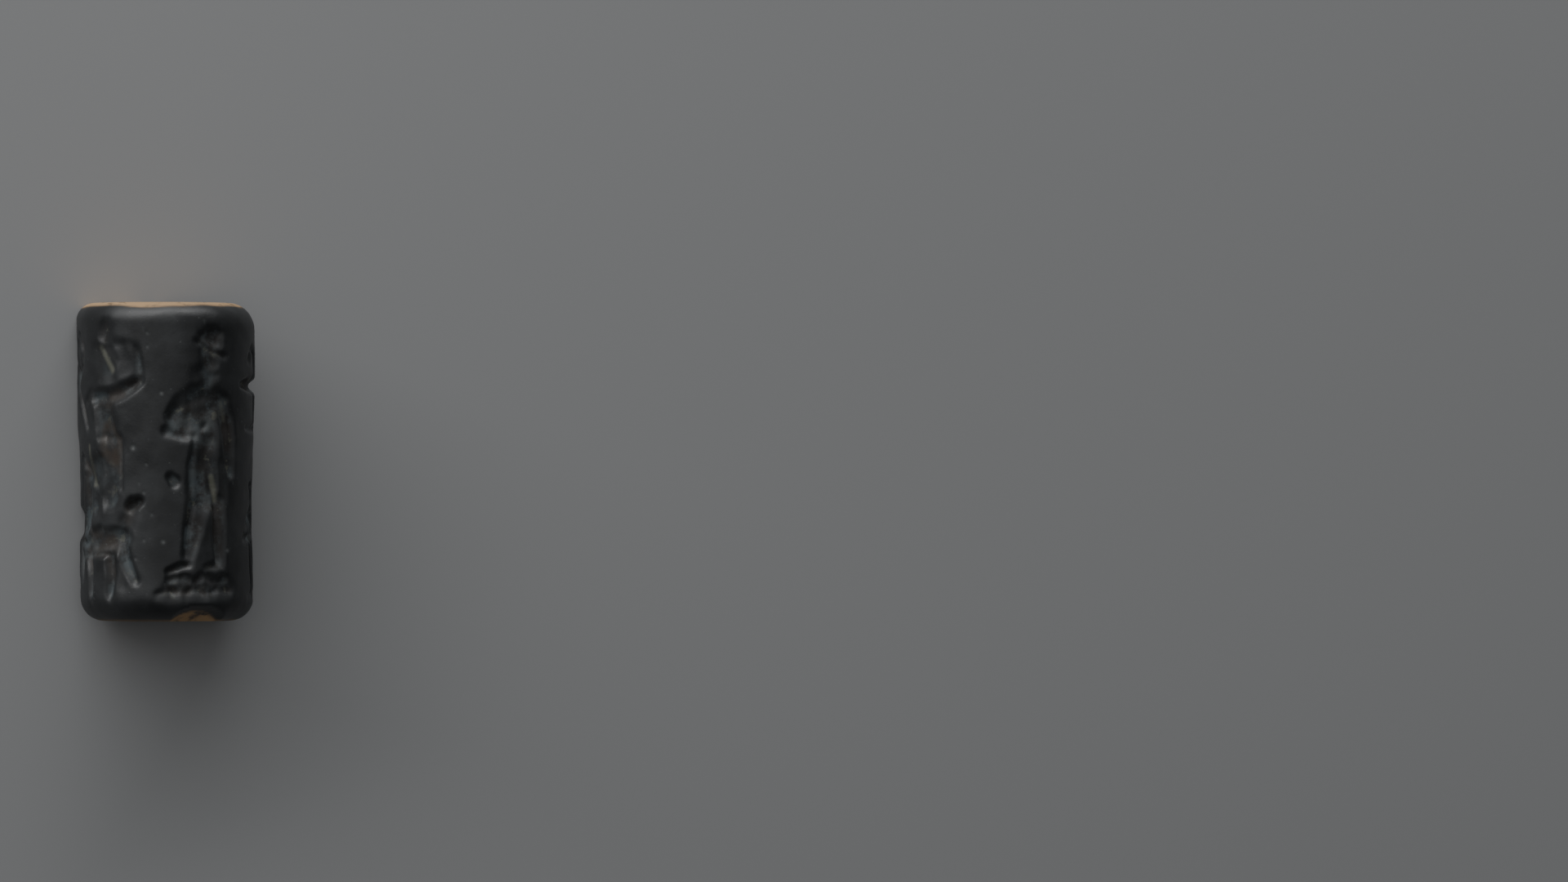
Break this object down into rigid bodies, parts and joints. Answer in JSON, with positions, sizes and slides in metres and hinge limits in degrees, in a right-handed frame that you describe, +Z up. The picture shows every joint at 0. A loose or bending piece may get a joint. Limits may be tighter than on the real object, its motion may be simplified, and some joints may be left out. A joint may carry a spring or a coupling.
{
  "type": "cylinder seal",
  "caption": "Worn black stone cylinder seal with a lengthwise bore and a worshipped-figures scene cut into it, broken along one side and lying on the break.",
  "frame": {"origin": "middle of the underside: the seal lies on its broken flat at z 0, with its outer box centred over the origin", "axes": "+Y along the seal's axis toward the head end of the engraved scene, +Z up away from the broken flat, +X to the right when the scene is seen from above with its head end away"},
  "size_m": [0.0146, 0.0262, 0.0099],
  "materials": {
    "stone": "worn, semi-gloss"
  },
  "bodies": {
    "root": {"seal": "stone"}
  },
  "joints": []
}
